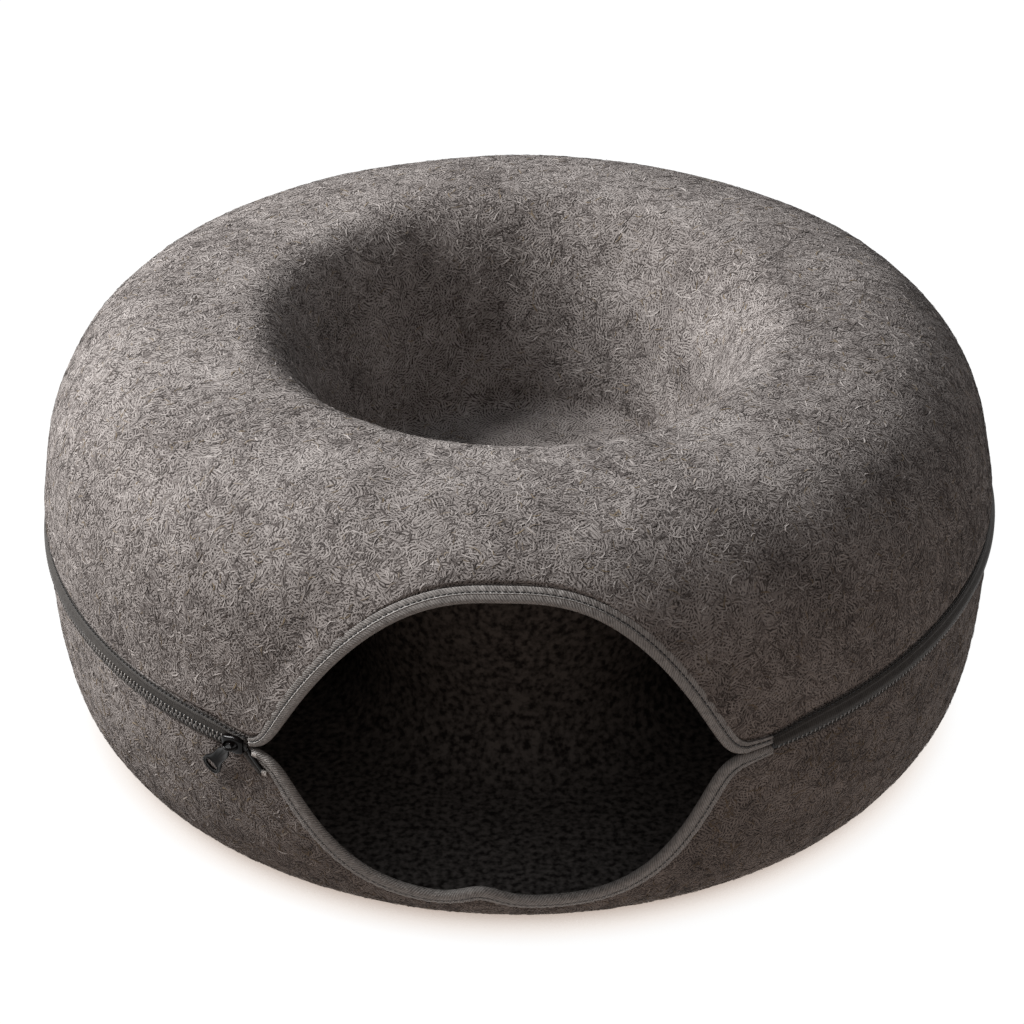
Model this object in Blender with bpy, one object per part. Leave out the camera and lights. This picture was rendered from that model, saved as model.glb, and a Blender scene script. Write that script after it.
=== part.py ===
"""Cat tunnel bed: two moulded felt half rings closed by a zip, with a bound entrance at the front (-Y)."""

import bpy
import numpy as np

# Driving sizes, in metres and degrees. Azimuth is 0 at the entrance and grows to the right (+X).
FELT_RADIUS = 0.298  # outside of the felt at its widest
HEIGHT = 0.264
WIDEST_Z = 0.1287
CROWN_RADIUS = 0.173  # circle of the highest line
BASE_RADIUS = 0.2424  # where the flat base turns up
FELT = 0.0035
WALL_ROUNDNESS_LOW = 2.74  # powers of the superellipses that the walls follow
WALL_ROUNDNESS_HIGH = 2.85
WELL_ROUNDNESS = 2.05
WELL_RADIUS = 0.109
WELL_STRAIGHT_Z = 0.101
WELL_FLOOR_Z = 0.132
WELL_CORNER = 0.010
HUB_CLEARANCE = 0.0005
HUB_FOOT = 0.045  # bend where the base turns up into the hub
HUB_CORNER = 0.012
CENTRING = (0.0, -0.0053, 0.0)  # the cut-away front is flatter, so this centres the whole bed on the origin

ZIP_BACK_Z = 0.1375
ZIP_FRONT_DROP = 0.0185  # the zip dips towards the entrance
ZIP_DROP_WIDTH = 62.0
ZIP_SIDE_RISE = 0.0065  # and sits higher on the right than on the left
ZIP_LEFT = -29.35
ZIP_RIGHT = 31.5

EDGE_APART = 0.0036  # least distance between the two felt edges beside the entrance
EDGE_REACH = 40.0  # past this azimuth both edges follow the zip
ARCH_RISE = 0.1061
ARCH_LEFT = (26.2, 2.56)  # half angle and fullness of the curve on that side
ARCH_RIGHT = (25.0, 2.75)
ARCH_BEND = 0.0120
ARCH_OVERLAP = 0.0034
LIP_DROP = 0.0975
LIP_LEFT = (26.4, 3.48)
LIP_RIGHT = (24.7, 3.67)
LIP_BEND = 0.0221
LIP_OVERLAP = 0.0011
LIP_WAVE = 0.0090
LIP_WAVE_AT = -2.33
LIP_WAVE_WIDTH = 3.22
BOW_LIMIT = 1.6  # half angles past which the curves fall no further

GAP = 0.0003
EDGE_GAP = 0.0004  # between the binding and the felt that it wraps
BINDING = 0.0010  # thickness of the binding tape
BINDING_LEG = 0.0087
BINDING_LEFT = -29.0
BINDING_RIGHT = 31.0
TAPE = 0.0008
TAPE_ABOVE = 0.0088
TAPE_BELOW = 0.0046
TAPE_INNER = 0.0006  # the tapes stop this far from the zip's middle
COIL_WIDTH = 0.0060
COIL = 0.0014
COIL_ROUND = 0.0005

SLIDER_AT = -30.9
SLIDER_LENGTH = 0.0145
SLIDER_WIDTH = 0.0115
SLIDER_ROOF = 0.0017
SLIDER_BEVEL = 0.0011
SLIDER_WALL = 0.0009
BRIDGE_RUN = 0.0044
BRIDGE_RISE = 0.0045
BRIDGE_BAR = (0.0022, 0.0014)
PULL_LENGTH = 0.0310
PULL_NECK = 0.0078
PULL_END = 0.0135
PULL_THICKNESS = 0.0016
PULL_TURN = 38.0
PULL_LEAN = 3.0
PULL_LIFT = 0.0005
HOLE_AT = 0.82  # share of the pull's length
HOLE_HALVES = (0.0044, 0.0023)
TAIL_WIDTH = 0.0044
TAIL_LENGTH = 0.0120
TAIL_THICKNESS = 0.0012


def clear():
    for obj in list(bpy.data.objects):
        bpy.data.objects.remove(obj, do_unlink=True)


def material(name, colour, roughness):
    made = bpy.data.materials.new(name)
    made.use_nodes = True
    shader = made.node_tree.nodes["Principled BSDF"]
    shader.inputs["Base Color"].default_value = (*colour, 1)
    shader.inputs["Roughness"].default_value = roughness
    return made


def node(name, points, faces, finish):
    mesh = bpy.data.meshes.new(name)
    mesh.from_pydata([tuple(p) for p in np.asarray(points) + CENTRING], [], [tuple(f) for f in faces])
    mesh.update()
    mesh.materials.append(finish)
    obj = bpy.data.objects.new(name, mesh)
    bpy.context.collection.objects.link(obj)
    return obj


def arc(centre, radius, start, end, steps):
    turn = np.radians(np.linspace(start, end, steps))
    return np.stack([centre[0] + radius * np.cos(turn), centre[1] + radius * np.sin(turn)], 1)


def master_profile():
    """The outside face of the felt from the hub's middle, under the base, up the wall and into the well."""
    turn = np.linspace(0, np.pi / 2, 160)
    foot = WELL_RADIUS + HUB_FOOT
    hub_top = WELL_FLOOR_Z - 2 * FELT - HUB_CLEARANCE
    hub = arc((WELL_RADIUS - HUB_CORNER, hub_top - HUB_CORNER), HUB_CORNER, 90, 0, 24)
    toe = arc((foot, HUB_FOOT), HUB_FOOT, 180, 270, 40)
    low = np.stack([
        BASE_RADIUS + (FELT_RADIUS - BASE_RADIUS) * np.sin(turn) ** (2 / WALL_ROUNDNESS_LOW),
        WIDEST_Z * (1 - np.cos(turn) ** (2 / WALL_ROUNDNESS_LOW)),
    ], 1)
    high = np.stack([
        CROWN_RADIUS + (FELT_RADIUS - CROWN_RADIUS) * np.cos(turn) ** (2 / WALL_ROUNDNESS_HIGH),
        WIDEST_Z + (HEIGHT - WIDEST_Z) * np.sin(turn) ** (2 / WALL_ROUNDNESS_HIGH),
    ], 1)
    well = np.stack([
        WELL_RADIUS + (CROWN_RADIUS - WELL_RADIUS) * (1 - np.sin(turn) ** (2 / WELL_ROUNDNESS)),
        WELL_STRAIGHT_Z + (HEIGHT - WELL_STRAIGHT_Z) * np.cos(turn) ** (2 / WELL_ROUNDNESS),
    ], 1)
    well = well[well[:, 1] > WELL_FLOOR_Z + WELL_CORNER + 0.001]
    corner = (well[-1, 0] - WELL_CORNER, WELL_FLOOR_Z + WELL_CORNER)
    bowl = arc(corner, WELL_CORNER, 0, -90, 20)
    whole = np.concatenate([[[0, hub_top]], hub, toe, low, high[1:], well[1:], bowl, [[0, WELL_FLOOR_Z]]])
    apart = np.hypot(*np.diff(whole, axis=0).T) > 1e-6
    whole = whole[np.append(True, apart)]
    along = np.append(0, np.cumsum(np.hypot(*np.diff(whole, axis=0).T)))
    widest = np.argmin(np.hypot(whole[:, 0] - FELT_RADIUS, whole[:, 1] - WIDEST_Z))
    fine = np.append(np.arange(along[0], along[-1], 0.0005), along[-1])
    r = np.interp(fine, along, whole[:, 0])
    z = np.interp(fine, along, whole[:, 1])
    return fine - along[widest], r, z


def smooth(values, width):
    """A running mean, with both ends held."""
    kernel = np.ones(width) / width
    padded = np.concatenate([np.full(width, values[0]), values, np.full(width, values[-1])])
    return np.convolve(padded, kernel, "same")[width:-width]


TABLE_S, TABLE_R, TABLE_Z = master_profile()
TANGENT_R = smooth(np.gradient(TABLE_R, TABLE_S), 9)
TANGENT_Z = smooth(np.gradient(TABLE_Z, TABLE_S), 9)


def surface(azimuth, s, out=0.0):
    """Points at an azimuth in degrees (0 at the entrance, + to the right), s metres up the profile."""
    azimuth, s, out = np.broadcast_arrays(np.asarray(azimuth, float), s, out)
    r = np.interp(s, TABLE_S, TABLE_R)
    z = np.interp(s, TABLE_S, TABLE_Z)
    tr = np.interp(s, TABLE_S, TANGENT_R)
    tz = np.interp(s, TABLE_S, TANGENT_Z)
    size = np.hypot(tr, tz)
    r = r + out * tz / size
    z = z - out * tr / size
    turn = np.radians(azimuth)
    return np.stack([r * np.sin(turn), -r * np.cos(turn), z], -1)


def zip_line(azimuth):
    """Middle of the coil, as s on the profile."""
    turned = (np.asarray(azimuth, float) + 180) % 360 - 180
    z = ZIP_BACK_Z - ZIP_FRONT_DROP * np.exp(-((turned / ZIP_DROP_WIDTH) ** 2))
    z = z + ZIP_SIDE_RISE * np.sin(np.radians(turned))
    wall = (TABLE_S > -0.1) & (TABLE_S < 0.1)
    return np.interp(z, TABLE_Z[wall], TABLE_S[wall])


def bend_max(a, b, radius):
    """The greater of two values, with a rounded change from one to the other."""
    return 0.5 * (a + b + np.sqrt((a - b) ** 2 + radius**2))


def bow(azimuth, rise, left, right):
    """A curve that is highest in the middle and falls away faster towards both corners."""
    half = np.where(azimuth < 0, left[0], right[0])
    full = np.where(azimuth < 0, left[1], right[1])
    return rise * (1 - np.minimum(np.abs(azimuth) / half, BOW_LIMIT) ** full)


def upper_edge(azimuth):
    """Lower edge of the upper felt: along the zip, and up round the entrance."""
    line = zip_line(azimuth)
    beside = line + EDGE_APART / 2
    arch = bend_max(bow(azimuth, ARCH_RISE, ARCH_LEFT, ARCH_RIGHT), line - ARCH_OVERLAP, ARCH_BEND)
    return np.where(np.abs(azimuth) < EDGE_REACH, np.maximum(arch, beside), beside)


def lower_edge(azimuth):
    """Upper edge of the lower felt: along the zip, and down round the entrance, with a small wave."""
    line = zip_line(azimuth)
    beside = line - EDGE_APART / 2
    wave = LIP_WAVE * np.exp(-(((azimuth - LIP_WAVE_AT) / LIP_WAVE_WIDTH) ** 2))
    lip = wave - bend_max(bow(azimuth, LIP_DROP, LIP_LEFT, LIP_RIGHT), -line - LIP_OVERLAP, LIP_BEND)
    return np.where(np.abs(azimuth) < EDGE_REACH, np.minimum(lip, beside), beside)


# Azimuths of the columns of points: closer round the entrance, even round the rest.
FRONT = np.array([
    -31.0, -29.0, -27.8, -26.5, -25.2, -24.0, -22.8, -21.5, -20.0, -18.3, -16.0, -13.0, -10.0, -7.5, -5.3, -3.8,
    -2.4, -1.0, 0.6, 2.5, 5.0, 8.0, 11.0, 14.0, 16.3, 18.2, 19.8, 21.3, 22.6, 23.8, 25.0, 26.5, 28.0, 29.5, 31.0,
])
AROUND = np.linspace(31.0, 329.0, 35)[1:-1]
COLUMNS = np.concatenate([FRONT, AROUND])


def facing_out(obj):
    """Turns the faces round if the mesh encloses a negative volume."""
    mesh = obj.data
    mesh.calc_loop_triangles()
    co = np.array([v.co[:] for v in mesh.vertices])
    tri = np.array([t.vertices[:] for t in mesh.loop_triangles])
    if np.linalg.det(co[tri]).sum() < 0:
        mesh.flip_normals()
    return obj


def shell(name, edge, anchors, near, finish):
    """A felt wall: columns of points from its free edge along the profile to the middle, on both faces."""
    count = len(COLUMNS)
    start = edge(np.where(COLUMNS > 180, COLUMNS - 360, COLUMNS))
    share = np.linspace(0, 1, near + 1)[:-1]
    first = start[:, None] + (anchors[0] - start[:, None]) * share
    rest = np.broadcast_to(anchors[:-1], (count, len(anchors) - 1))
    s = np.concatenate([first, rest], 1)
    rows = s.shape[1]
    outer = surface(COLUMNS[:, None], s, 0.0).reshape(-1, 3)
    inner = surface(COLUMNS[:, None], s, -FELT).reshape(-1, 3)
    middle = np.array([surface(0, anchors[-1], 0.0), surface(0, anchors[-1], -FELT)])
    middle[:, :2] = 0
    points = np.concatenate([outer, inner, middle])
    side = count * rows  # number of points on one face
    faces = []
    for i in range(count):
        j = (i + 1) % count
        for row in range(rows - 1):
            p, q = i * rows + row, j * rows + row
            faces.append((p, q, q + 1, p + 1))
            faces.append((side + p, side + p + 1, side + q + 1, side + q))
        p, q = i * rows, j * rows
        faces.append((p, side + p, side + q, q))
        p, q = i * rows + rows - 1, j * rows + rows - 1
        faces.append((p, q, 2 * side))
        faces.append((side + p, 2 * side + 1, side + q))
    return facing_out(node(name, points, faces, finish))


def strip(name, section, finish):
    """A closed band: section is an array of points, path steps by corners."""
    steps, corners = section.shape[:2]
    faces = [tuple(range(corners))[::-1], tuple(range((steps - 1) * corners, steps * corners))]
    for i in range(steps - 1):
        for j in range(corners):
            k = (j + 1) % corners
            faces.append((i * corners + j, i * corners + k, (i + 1) * corners + k, (i + 1) * corners + j))
    return facing_out(node(name, section.reshape(-1, 3), faces, finish))


def binding(name, edge, side, finish):
    """Tape folded over the felt's edge; side is +1 where the felt lies above the edge, -1 below it."""
    columns = FRONT[(FRONT >= BINDING_LEFT) & (FRONT <= BINDING_RIGHT)]
    s = edge(columns)
    radius = np.interp(s, TABLE_S, TABLE_R)
    per_degree = radius * np.pi / 180
    fine = np.linspace(columns[0] - 0.5, columns[-1] + 0.5, 800)
    rise = np.interp(columns, fine, smooth(np.gradient(edge(fine), fine), 15)) / per_degree
    size = np.hypot(rise, 1)
    into_azimuth = -rise / size * side / per_degree
    into_s = side / size
    leg = BINDING_LEG
    fold = EDGE_GAP + BINDING
    back = FELT + 3.2 * EDGE_GAP  # the flat back leg needs more room behind the curved felt
    loop = np.array([
        (leg, fold), (0.0010, fold), (-0.0009, fold - 0.0006), (-fold, -0.0010), (-fold, -FELT + 0.0010),
        (-0.0009, -back - BINDING + 0.0006), (0.0010, -back - BINDING), (leg, -back - BINDING), (leg, -back),
        (-EDGE_GAP, -back), (-EDGE_GAP, EDGE_GAP), (leg, EDGE_GAP),
    ])
    across, out = loop[:, 0], loop[:, 1]
    azimuth = columns[:, None] + across * into_azimuth[:, None]
    return strip(name, surface(azimuth, s[:, None] + across * into_s[:, None], out), finish)


def ring_strip(name, low, high, inside, outside, finish, crowned=False):
    """A band round the bed between two offsets from the zip line and two heights above the felt."""
    columns = np.concatenate([[ZIP_RIGHT], AROUND, [360 + ZIP_LEFT - 1.6, 360 + ZIP_LEFT]])
    line = zip_line(columns)[:, None]
    if crowned:
        inset = 0.25 * (high - low)
        offsets = np.array([low, low, low + inset, high - inset, high, high])
        shoulder = outside - COIL_ROUND
        heights = np.array([inside, shoulder, outside, outside, shoulder, inside])
    else:
        offsets = np.array([low, low, high, high])
        heights = np.array([inside, outside, outside, inside])
    return strip(name, surface(columns[:, None], line + offsets, heights), finish)


def frame_at(azimuth, s):
    """Origin on the felt with unit vectors along the ring, up the wall and outwards."""
    origin = surface(azimuth, s)
    along = surface(azimuth + 0.5, s) - surface(azimuth - 0.5, s)
    along /= np.linalg.norm(along)
    out = surface(azimuth, s, 0.01) - origin
    out /= np.linalg.norm(out)
    return origin, along, np.cross(out, along), out


def placed(local, frame):
    origin, along, up, out = frame
    return origin + local[..., :1] * along + local[..., 1:2] * up + local[..., 2:] * out


def combine(target, other, operation):
    """Adds the other mesh to the target, or cuts it out, and keeps it as a hidden guide."""
    mod = target.modifiers.new(other.name, "BOOLEAN")
    mod.operation = operation
    mod.solver = "EXACT"
    mod.object = other
    other.display_type = "WIRE"
    other.hide_render = True
    other.hide_viewport = True


def slider(finish):
    """A channel that rides over the coil, with a bridge for the pull; returns its frame and its top."""
    frame = frame_at(SLIDER_AT, zip_line(SLIDER_AT))
    side = SLIDER_WIDTH / 2
    inside = COIL_WIDTH / 2 + 0.0005
    foot = TAPE + 2 * GAP + 0.0001
    roof = TAPE + COIL + 3 * GAP
    top = roof + SLIDER_ROOF
    loop = np.array([
        (-side, foot), (-inside, foot), (-inside, roof), (inside, roof), (inside, foot), (side, foot),
        (side, top - SLIDER_BEVEL), (side - SLIDER_BEVEL, top), (SLIDER_BEVEL - side, top),
        (-side, top - SLIDER_BEVEL),
    ])
    along = np.array([-0.5, -0.36, -0.18, 0.18, 0.36, 0.5]) * SLIDER_LENGTH
    width_share = np.array([0.80, 0.95, 1.0, 1.0, 0.95, 0.80])  # the channel is narrower at both mouths
    reach = np.abs(loop[:, 0])
    outer = np.maximum(reach * width_share[:, None], inside + SLIDER_WALL)
    local = np.zeros((len(along), len(loop), 3))
    local[..., 0] = along[:, None]
    local[..., 1] = np.sign(loop[:, 0]) * np.where(reach > inside + 1e-6, outer, reach)
    local[..., 2] = loop[:, 1]
    body = strip("zip_slider", placed(local, frame), finish)

    turn = np.radians(np.linspace(-20, 200, 12))
    path = np.stack([BRIDGE_RUN * np.cos(turn), 0 * turn, top + 0.0002 + BRIDGE_RISE * np.sin(turn)], 1)
    normal = np.stack([np.cos(turn), 0 * turn, np.sin(turn)], 1)
    half = np.array([(-1, 1), (1, 1), (1, -1), (-1, -1)]) * np.array(BRIDGE_BAR) / 2
    bar = path[:, None, :] + half[:, 1][None, :, None] * normal[:, None, :]
    bar[..., 1] += half[:, 0]
    combine(body, strip("bridge", placed(bar, frame), finish), "UNION")
    return frame, top


def plate(name, outline, low, high, place, finish):
    flat = np.zeros((2, len(outline), 3))
    flat[:, :, :2] = outline
    flat[0, :, 2] = low
    flat[1, :, 2] = high
    return strip(name, place(flat), finish)


def pull(frame, top, finish):
    """The tab: narrow at the slider, wide at its end, with an oval hole across the end."""
    turn, lean = np.radians(PULL_TURN), np.radians(PULL_LEAN)

    def place(flat):
        # x across the tab, y down it, z away from the felt; the tab leans in towards the felt at its end.
        x, y, z = flat[..., 0], flat[..., 1], flat[..., 2]
        down = y * np.cos(lean)
        lift = top + PULL_LIFT + z - y * np.sin(lean)
        right = -down * np.sin(turn) + x * np.cos(turn)
        up = -down * np.cos(turn) - x * np.sin(turn)
        return placed(np.stack([right, up, lift], -1), frame)

    # Shares of the length, each with the tab's half width there: hinge, neck, blade, round end.
    shares = np.array([-0.15, -0.12, -0.09, 0.09, 0.24, 0.50, 0.67, 0.79, 0.88, 0.95, 1.00])
    neck, wide = PULL_NECK / 2, PULL_END / 2
    half = np.append(
        neck * np.array([0.45, 0.65, 0.42, 0.42, 1.0, 1.02]),
        wide * np.array([0.80, 1.0, 0.98, 0.80, 0.45]),
    )
    right = np.stack([half, shares * PULL_LENGTH], 1)
    outline = np.concatenate([right, right[::-1] * (-1, 1)])
    tab = plate("zip_pull", outline, 0.0, PULL_THICKNESS, place, finish)
    round_ = np.linspace(0, 2 * np.pi, 28, endpoint=False)
    hole = np.stack([np.cos(round_), np.sin(round_)], 1) * HOLE_HALVES + (0, HOLE_AT * PULL_LENGTH)
    through = 0.004  # the cutter runs this far past both faces
    combine(tab, plate("end_hole", hole, -through, PULL_THICKNESS + through, place, finish), "DIFFERENCE")


def zip_tail(finish):
    """The short end of the zip, sewn down over the left end of the lower binding."""
    azimuth = np.linspace(ZIP_LEFT + 0.25, ZIP_LEFT + 2.2, 4)
    middle = zip_line(azimuth[0]) - 0.0015 - np.linspace(0, TAIL_LENGTH, 4)
    offsets = np.array([-0.5, -0.5, 0.5, 0.5]) * TAIL_WIDTH
    low = 2 * EDGE_GAP + BINDING
    heights = np.array([low, low + TAIL_THICKNESS, low + TAIL_THICKNESS, low])
    strip("zip_tail", surface(azimuth[:, None], middle[:, None] + offsets, heights), finish)


def upper_anchors():
    """Places on the profile for rows of points: up over the crown, down the well, round to its middle."""
    floor_start = TABLE_S[-1] - (WELL_RADIUS - WELL_CORNER)
    bend = WELL_CORNER * np.pi / 2
    wall = np.array([0.128, 0.146, 0.163, 0.181, 0.200, 0.220, 0.240, 0.260, 0.280, 0.300, 0.322, 0.345])
    return np.concatenate([wall, floor_start - bend * np.array([1.0, 0.5, 0.0]), TABLE_S[-1:]])


def lower_anchors():
    """The same from the wall's foot, in under the base, up the hub and to its middle."""
    disc = TABLE_S[0] + WELL_RADIUS - HUB_CORNER
    corner = disc + HUB_CORNER * np.pi / 2 * np.array([1.0, 0.5, 0.0])
    side = WELL_FLOOR_Z - 2 * FELT - HUB_CLEARANCE - HUB_CORNER - HUB_FOOT
    foot = corner[0] + side + HUB_FOOT * np.pi / 2 * np.array([1.0, 0.67, 0.33, 0.0])
    wall = np.array([-0.114, -0.126, -0.138, -0.150, -0.163])
    return np.concatenate([wall, foot, corner, TABLE_S[:1]])


clear()
felt = material("moulded_wool_felt", (0.20, 0.19, 0.185), 0.95)
tape = material("woven_binding_tape", (0.24, 0.235, 0.23), 0.8)
zip_cloth = material("woven_zip_tape", (0.16, 0.16, 0.16), 0.75)
nylon = material("nylon_zip_coil", (0.22, 0.22, 0.215), 0.45)
metal = material("painted_zip_slider", (0.012, 0.012, 0.013), 0.4)

shell("upper_shell", upper_edge, upper_anchors(), 9, felt)
shell("lower_shell", lower_edge, lower_anchors(), 8, felt)
binding("upper_binding", upper_edge, 1, tape)
binding("lower_binding", lower_edge, -1, tape)
ring_strip("zip_tape_upper", TAPE_INNER, TAPE_ABOVE, GAP, GAP + TAPE, zip_cloth)
ring_strip("zip_tape_lower", -TAPE_BELOW, -TAPE_INNER, GAP, GAP + TAPE, zip_cloth)
coil_foot = 2 * GAP + TAPE
ring_strip("zip_coil", -COIL_WIDTH / 2, COIL_WIDTH / 2, coil_foot, coil_foot + COIL, nylon, crowned=True)
slider_frame, slider_top = slider(metal)
pull(slider_frame, slider_top, metal)
zip_tail(metal)
for obj in bpy.data.objects:
    if obj.name.endswith("_shell"):
        obj.data.shade_smooth()
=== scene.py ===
import bpy
import numpy as np
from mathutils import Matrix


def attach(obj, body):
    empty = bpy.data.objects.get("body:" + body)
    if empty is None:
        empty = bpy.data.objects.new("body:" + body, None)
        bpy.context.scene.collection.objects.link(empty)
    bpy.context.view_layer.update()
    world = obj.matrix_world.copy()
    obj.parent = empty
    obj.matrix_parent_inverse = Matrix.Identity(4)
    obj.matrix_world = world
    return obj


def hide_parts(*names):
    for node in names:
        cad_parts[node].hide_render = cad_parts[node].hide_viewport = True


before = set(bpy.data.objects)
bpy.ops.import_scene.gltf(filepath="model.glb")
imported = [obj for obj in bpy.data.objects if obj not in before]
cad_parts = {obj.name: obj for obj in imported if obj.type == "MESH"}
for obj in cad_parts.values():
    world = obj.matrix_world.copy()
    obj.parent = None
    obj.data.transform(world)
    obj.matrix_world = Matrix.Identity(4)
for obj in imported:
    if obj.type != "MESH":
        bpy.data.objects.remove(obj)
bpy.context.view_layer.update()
random = np.random.default_rng(5)

# the bed's form, in metres and degrees
bed = {
    "feltRadius": 0.298,
    "height": 0.264,
    "widestZ": 0.1287,
    "crownRadius": 0.173,
    "baseRadius": 0.2424,
    "felt": 0.0035,
    "lowFullness": 2.74,
    "highFullness": 2.85,
    "wellFullness": 2.05,
    "wellRadius": 0.109,
    "wellStraightZ": 0.101,
    "wellFloorZ": 0.132,
    "wellCorner": 0.010,
    "hubGap": 0.0005,
    "hubFoot": 0.045,
    "hubCorner": 0.012,
    "centreY": -0.0053,
}


def runLength(points):
    # the distance along a line of points, from its start
    return np.append(0, np.cumsum(np.linalg.norm(np.diff(points, axis=0), axis=1)))


def arcPoints(centre, radius, start, end, count):
    # centre + radius * (cos, sin) of a turn that runs from start to end, in degrees
    turn = np.radians(np.linspace(start, end, count))
    return np.stack([centre[0] + radius * np.cos(turn), centre[1] + radius * np.sin(turn)], 1)


def feltProfile():
    # radius and height of the felt's outside face, by its length from the widest line: up into the well,
    # down under the base and up the hub. Walls are superellipses, corners are arcs.
    turn = np.linspace(0, np.pi / 2, 160)
    hubTop = bed["wellFloorZ"] - 2 * bed["felt"] - bed["hubGap"]
    foot = bed["wellRadius"] + bed["hubFoot"]
    hubMiddle = (bed["wellRadius"] - bed["hubCorner"], hubTop - bed["hubCorner"])
    hub = arcPoints(hubMiddle, bed["hubCorner"], 90, 0, 24)
    toe = arcPoints((foot, bed["hubFoot"]), bed["hubFoot"], 180, 270, 40)
    low, high, well = 2 / bed["lowFullness"], 2 / bed["highFullness"], 2 / bed["wellFullness"]
    lowWall = np.stack([
        bed["baseRadius"] + (bed["feltRadius"] - bed["baseRadius"]) * np.sin(turn) ** low,
        bed["widestZ"] * (1 - np.cos(turn) ** low),
    ], 1)
    highWall = np.stack([
        bed["crownRadius"] + (bed["feltRadius"] - bed["crownRadius"]) * np.cos(turn) ** high,
        bed["widestZ"] + (bed["height"] - bed["widestZ"]) * np.sin(turn) ** high,
    ], 1)
    wellWall = np.stack([
        bed["wellRadius"] + (bed["crownRadius"] - bed["wellRadius"]) * (1 - np.sin(turn) ** well),
        bed["wellStraightZ"] + (bed["height"] - bed["wellStraightZ"]) * np.cos(turn) ** well,
    ], 1)
    wellWall = wellWall[wellWall[:, 1] > bed["wellFloorZ"] + bed["wellCorner"] + 0.001]
    corner = (wellWall[-1, 0] - bed["wellCorner"], bed["wellFloorZ"] + bed["wellCorner"])
    bowl = arcPoints(corner, bed["wellCorner"], 0, -90, 20)
    middles = [[[0, hubTop]], [[0, bed["wellFloorZ"]]]]
    line = np.concatenate([middles[0], hub, toe, lowWall, highWall, wellWall, bowl, middles[1]])
    line = line[np.append(True, np.diff(runLength(line)) > 1e-6)]
    along = runLength(line)
    widest = np.argmin(np.hypot(line[:, 0] - bed["feltRadius"], line[:, 1] - bed["widestZ"]))
    fine = np.append(np.arange(along[0], along[-1], 0.0005), along[-1])
    radius, height = (np.interp(fine, along, line[:, i]) for i in (0, 1))
    return fine - along[widest], radius, height


def smoothed(values, width):
    padded = np.concatenate([np.full(width, values[0]), values, np.full(width, values[-1])])
    return np.convolve(padded, np.ones(width) / width, "same")[width:-width]


profileS, profileR, profileZ = feltProfile()
slopeR = smoothed(np.gradient(profileR, profileS), 9)
slopeZ = smoothed(np.gradient(profileZ, profileS), 9)
hubMiddleS, wellMiddleS = profileS[0], profileS[-1]
wellFloorS = wellMiddleS - (bed["wellRadius"] - bed["wellCorner"])


def surface(azimuth, s, out=0.0):
    # the profile's point at s, pushed out along its normal, turned to the azimuth: 0 at the entrance, + right
    azimuth, s, out = np.broadcast_arrays(np.asarray(azimuth, float), s, out)
    dr, dz = np.interp(s, profileS, slopeR), np.interp(s, profileS, slopeZ)
    size = np.hypot(dr, dz)
    radius = np.interp(s, profileS, profileR) + out * dz / size
    height = np.interp(s, profileS, profileZ) - out * dr / size
    turn = np.radians(azimuth)
    return np.stack([radius * np.sin(turn), bed["centreY"] - radius * np.cos(turn), height], -1)


def radiusAt(s):
    return np.interp(s, profileS, profileR)


def perDegreeAt(s):
    # metres round the ring in one degree
    return radiusAt(s) * np.pi / 180


# the zip's line and the two felt edges round the entrance
seam = {
    "backZ": 0.1353,
    "frontDrop": 0.0185,
    "dropWidth": 62.0,
    "sideRise": 0.0057,
    "archRise": 0.1061,
    "archLeft": (25.8, 2.56),
    "archRight": (24.75, 2.75),
    "archBend": 0.0200,
    "archOverlap": 0.0012,
    "lipDrop": 0.0975,
    "lipLeft": (26.25, 3.48),
    "lipRight": (24.85, 3.67),
    "lipBend": 0.0221,
    "lipOverlap": 0.0011,
    "edgeApart": 0.0036,
    "lipWave": 0.0090,
    "lipWaveAt": -2.33,
    "lipWaveWidth": 3.22,
    "frontHalf": 40.0,
}


def turned(azimuth):
    return (np.asarray(azimuth, float) + 180) % 360 - 180


def zipLine(azimuth):
    # height of the zip's middle: level at the back, a soft dip to the front, a sine rise to the right
    angle = turned(azimuth)
    z = seam["backZ"] - seam["frontDrop"] * np.exp(-((angle / seam["dropWidth"]) ** 2))
    z = z + seam["sideRise"] * np.sin(np.radians(angle))
    wall = np.abs(profileS) < 0.1
    return np.interp(z, profileZ[wall], profileS[wall])


def softMax(a, b, radius):
    return 0.5 * (a + b + np.sqrt((a - b) ** 2 + radius**2))


def bow(azimuth, rise, left, right):
    # rise * (1 - |azimuth / half| ** fullness), with its own half angle and fullness on each side
    half = np.where(azimuth < 0, left[0], right[0])
    full = np.where(azimuth < 0, left[1], right[1])
    return rise * (1 - np.minimum(np.abs(azimuth) / half, 1.6) ** full)


def upperEdge(azimuth):
    angle = turned(azimuth)
    line = zipLine(angle)
    curve = bow(angle, seam["archRise"], seam["archLeft"], seam["archRight"])
    arch = softMax(curve, line - seam["archOverlap"], seam["archBend"])
    beside = line + seam["edgeApart"] / 2
    return np.where(np.abs(angle) < seam["frontHalf"], np.maximum(arch, beside), beside)


def lowerEdge(azimuth):
    angle = turned(azimuth)
    line = zipLine(angle)
    wave = seam["lipWave"] * np.exp(-(((angle - seam["lipWaveAt"]) / seam["lipWaveWidth"]) ** 2))
    curve = bow(angle, seam["lipDrop"], seam["lipLeft"], seam["lipRight"])
    lip = wave - softMax(curve, -line - seam["lipOverlap"], seam["lipBend"])
    beside = line - seam["edgeApart"] / 2
    return np.where(np.abs(angle) < seam["frontHalf"], np.minimum(lip, beside), beside)


# materials
def linear(hexColour):
    # sRGB hex to the linear colour that shaders take
    parts = np.array([int(hexColour[i:i + 2], 16) for i in (1, 3, 5)]) / 255
    parts = np.where(parts <= 0.04045, parts / 12.92, ((parts + 0.055) / 1.055) ** 2.4)
    return (*parts, 1.0)


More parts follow.
